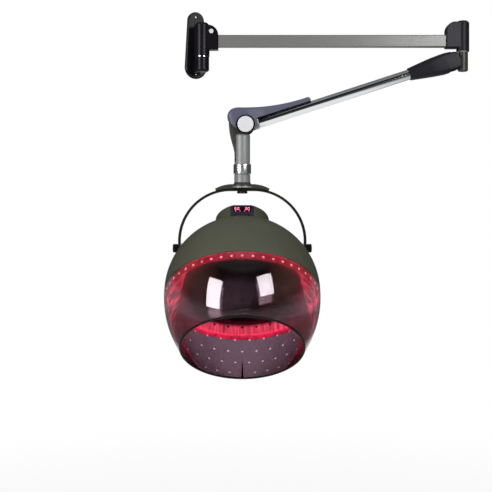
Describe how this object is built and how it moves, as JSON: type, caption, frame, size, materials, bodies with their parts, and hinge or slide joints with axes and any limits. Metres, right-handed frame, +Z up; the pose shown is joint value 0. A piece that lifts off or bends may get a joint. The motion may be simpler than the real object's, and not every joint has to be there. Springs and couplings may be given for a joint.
{
  "type": "hood hair dryer",
  "caption": "Wall-mounted hood hair dryer: a jointed two-section arm carries a tilting domed hood with a clear visor, a perforated liner and a blower drum on top.",
  "frame": {"origin": "wall plane straight behind the shoulder axis, 6 mm below the middle of the wall plate", "axes": "+Z up, -Y out from the wall into the room, +X to the right seen from the room"},
  "size_m": [0.7425, 0.395, 0.9161],
  "materials": {
    "bracket_casting": "satin",
    "moulded_black": "satin",
    "moulded_navy": "satin",
    "moulded_blue_grey": "satin",
    "moulded_olive": "satin",
    "painted_tube": "satin",
    "grey_casting": "satin",
    "chrome": "polished",
    "plain_steel": "satin",
    "bearing_bronze": "satin",
    "washer_nylon": "satin",
    "smoked_clear": "gloss",
    "liner_clear": "gloss",
    "trim_rubber": "satin",
    "light_guide": "gloss",
    "lamp_red": "gloss",
    "panel_film": "gloss",
    "circuit_board": "satin",
    "motor_can": "satin",
    "fan_plastic": "satin",
    "heater_metal": "satin",
    "mica_board": "satin"
  },
  "bodies": {
    "wall": {"wall_bracket": "bracket_casting", "shoulder_pin": "plain_steel", "shoulder_washer": "chrome"},
    "arm": {"shoulder_knuckle": "bracket_casting", "shoulder_bushes": "bearing_bronze", "shoulder_clamp_screw": "chrome", "arm_tube": "painted_tube", "elbow_knuckle": "moulded_navy", "elbow_bushes": "bearing_bronze"},
    "elbow": {"elbow_head": "moulded_olive", "elbow_pin": "plain_steel", "elbow_washer": "washer_nylon"},
    "lift": {"rear_cover_front": "moulded_navy", "rear_cover_back": "moulded_navy", "lift_tube": "chrome", "lift_fork": "plain_steel", "lift_pin": "plain_steel", "lift_springs": "plain_steel", "wrist_fork": "plain_steel", "wrist_pin": "plain_steel", "front_cover": "moulded_blue_grey", "wrist_bezel_front": "moulded_black", "wrist_bezel_back": "moulded_black", "wrist_disc": "chrome"},
    "stem": {"stem_head": "grey_casting", "stem_ring": "chrome", "swivel_spindle": "plain_steel"},
    "yoke": {"yoke_bow": "bracket_casting", "yoke_saddle": "grey_casting", "collar_screw": "chrome", "spindle_cap": "plain_steel", "tilt_washers": "washer_nylon"},
    "knob_right": {"tilt_knob_right": "moulded_black"},
    "knob_left": {"tilt_knob_left": "moulded_black"},
    "hood": {"hood_shell": "moulded_olive", "visor": "smoked_clear", "perforated_liner": "liner_clear", "mouth_trim": "trim_rubber", "light_ring": "light_guide", "ring_lamps": "lamp_red", "drum_housing": "moulded_olive", "control_panel": "panel_film", "display_window": "panel_film", "control_board": "circuit_board", "motor": "motor_can", "motor_spider": "plain_steel", "heater_element": "heater_metal", "heater_frame": "mica_board", "liner_posts": "plain_steel", "thermostat": "motor_can"},
    "blower": {"fan": "fan_plastic"},
    "key_1": {"button_1": "moulded_black"},
    "key_2": {"button_2": "moulded_black"},
    "key_3": {"button_3": "moulded_black"},
    "key_4": {"button_4": "moulded_black"}
  },
  "joints": [
    {"name": "shoulder_swing", "type": "hinge", "parent": "wall", "child": "arm", "pos_m": [0, -0.044, 0], "axis": [0, 0, 1], "range_deg": [-130, 20]},
    {"name": "elbow_swing", "type": "hinge", "parent": "arm", "child": "elbow", "pos_m": [0.59091, -0.31955, 0], "axis": [0, 0, 1], "range_deg": [-165, 165]},
    {"name": "arm_lift", "type": "hinge", "parent": "elbow", "child": "lift", "pos_m": [0.56916, -0.3094, -0.0305], "axis": [0.4226, 0.9063, 0], "range_deg": [-25, 12]},
    {"name": "wrist_tilt", "type": "hinge", "parent": "lift", "child": "stem", "pos_m": [0.09871, -0.09003, -0.19916], "axis": [0.4226, 0.9063, 0], "range_deg": [-25, 25]},
    {"name": "yoke_swivel", "type": "hinge", "parent": "stem", "child": "yoke", "pos_m": [0.09146, -0.08665, -0.31916], "axis": [0, 0, 1], "range_deg": [-170, 170]},
    {"name": "hood_tilt", "type": "hinge", "parent": "yoke", "child": "hood", "pos_m": [0.09146, -0.08665, -0.50716], "axis": [0.9063, -0.4226, 0], "range_deg": [-35, 45]},
    {"name": "knob_right_turn", "type": "hinge", "parent": "yoke", "child": "knob_right", "pos_m": [0.09146, -0.08665, -0.50716], "axis": [0.9063, -0.4226, 0], "range_deg": [-90, 90]},
    {"name": "knob_left_turn", "type": "hinge", "parent": "yoke", "child": "knob_left", "pos_m": [0.09146, -0.08665, -0.50716], "axis": [-0.9063, 0.4226, 0], "range_deg": [-90, 90]},
    {"name": "fan_spin", "type": "hinge", "parent": "hood", "child": "blower", "pos_m": [0.09655, -0.07574, -0.49119], "axis": [0.2543, 0.5454, 0.7986], "continuous": true},
    {"name": "button_1_press", "type": "slide", "parent": "hood", "child": "key_1", "axis": [0.3375, 0.7238, -0.6018], "range_m": [0, 0.0008], "stiffness_N_per_m": 1500, "springref_m": -0.0006},
    {"name": "button_2_press", "type": "slide", "parent": "hood", "child": "key_2", "axis": [0.3375, 0.7238, -0.6018], "range_m": [0, 0.0008], "stiffness_N_per_m": 1500, "springref_m": -0.0006},
    {"name": "button_3_press", "type": "slide", "parent": "hood", "child": "key_3", "axis": [0.3375, 0.7238, -0.6018], "range_m": [0, 0.0008], "stiffness_N_per_m": 1500, "springref_m": -0.0006},
    {"name": "button_4_press", "type": "slide", "parent": "hood", "child": "key_4", "axis": [0.3375, 0.7238, -0.6018], "range_m": [0, 0.0008], "stiffness_N_per_m": 1500, "springref_m": -0.0006}
  ]
}
